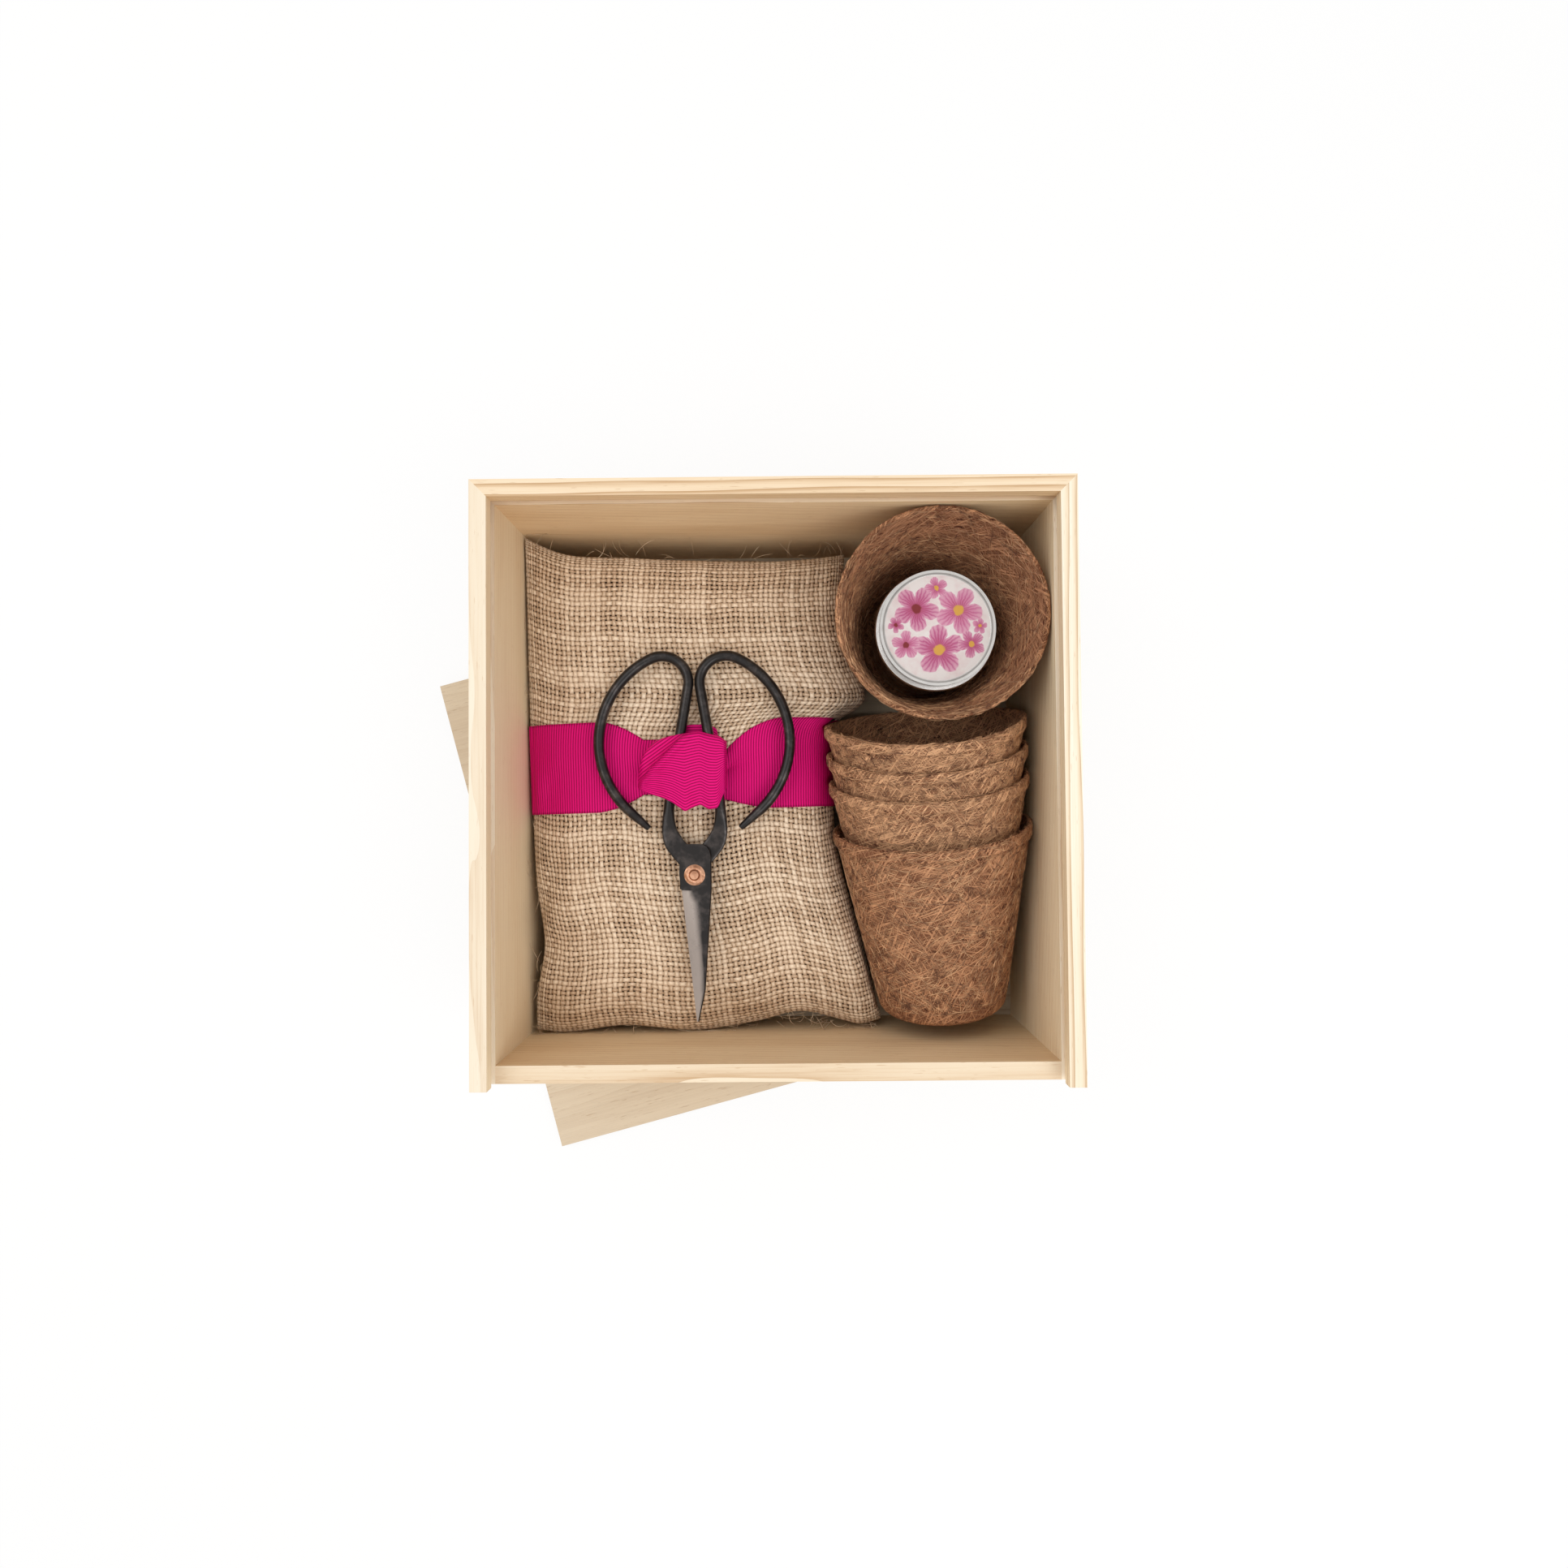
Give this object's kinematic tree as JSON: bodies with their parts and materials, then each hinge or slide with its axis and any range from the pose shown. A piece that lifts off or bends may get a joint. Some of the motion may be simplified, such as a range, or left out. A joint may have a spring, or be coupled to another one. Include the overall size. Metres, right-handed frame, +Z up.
{
  "type": "flower box",
  "caption": "Open pine box with a sliding lid that holds a flower growing kit: ribboned hessian bag of compost, forged scissors, nested coir pots, a standing pot and a seed tin.",
  "frame": {"origin": "centre of the box's plan, on the surface that the kit stands on, which is the underside of the lid laid under the box", "axes": "+Z up, +X to the right along the low front wall, +Y from the low front wall to the back wall"},
  "size_m": [0.2882, 0.2966, 0.1084],
  "materials": {
    "pine": "matte",
    "plywood": "matte",
    "brad_steel": "satin",
    "hessian": "matte",
    "compost": "matte",
    "ribbon": "satin",
    "forged_steel": "satin",
    "copper": "satin",
    "coir": "matte",
    "tin": "satin",
    "label": "satin",
    "seeds": "matte"
  },
  "bodies": {
    "box": {"left_wall": "pine", "right_wall": "pine", "back_wall": "pine", "front_wall": "pine", "floor_panel": "plywood", "corner_brads": "brad_steel"},
    "lid": {"sliding_lid": "plywood"},
    "bag": {"hessian_bag": "hessian", "compost_fill": "compost", "ribbon_band": "ribbon", "ribbon_knot": "ribbon", "scissor_right_half": "forged_steel", "pivot_rivet": "copper", "rivet_washers": "copper"},
    "scissors_upper": {"scissor_left_half": "forged_steel"},
    "pot_stack": {"nested_pot_1": "coir", "nested_pot_2": "coir", "nested_pot_3": "coir", "nested_pot_4": "coir"},
    "standing_pot_body": {"standing_pot": "coir"},
    "tin": {"tin_can": "tin", "flower_seeds": "seeds"},
    "tin_cover": {"tin_lid": "tin", "tin_label": "label"}
  },
  "joints": [
    {"name": "lid_draw", "type": "slide", "parent": "box", "child": "lid", "axis": [0.2554, -0.9668, 0], "range_m": [0, 0.25]},
    {"name": "bag_lift", "type": "slide", "parent": "box", "child": "bag", "axis": [0, 0, 1], "range_m": [0, 0.13]},
    {"name": "scissors_pivot", "type": "hinge", "parent": "bag", "child": "scissors_upper", "pos_m": [-0.03561, -0.03915, 0.06645], "axis": [0, 0, 1], "range_deg": [0, 12]},
    {"name": "stack_lift", "type": "slide", "parent": "bag", "child": "pot_stack", "axis": [0, 0, 1], "range_m": [0, 0.14]},
    {"name": "pot_lift", "type": "slide", "parent": "pot_stack", "child": "standing_pot_body", "axis": [0, 0, 1], "range_m": [0, 0.13]},
    {"name": "tin_lift", "type": "slide", "parent": "standing_pot_body", "child": "tin", "axis": [0, 0, 1], "range_m": [0, 0.09]},
    {"name": "tin_lid_lift", "type": "slide", "parent": "tin", "child": "tin_cover", "axis": [0, 0, 1], "range_m": [0, 0.03]}
  ]
}
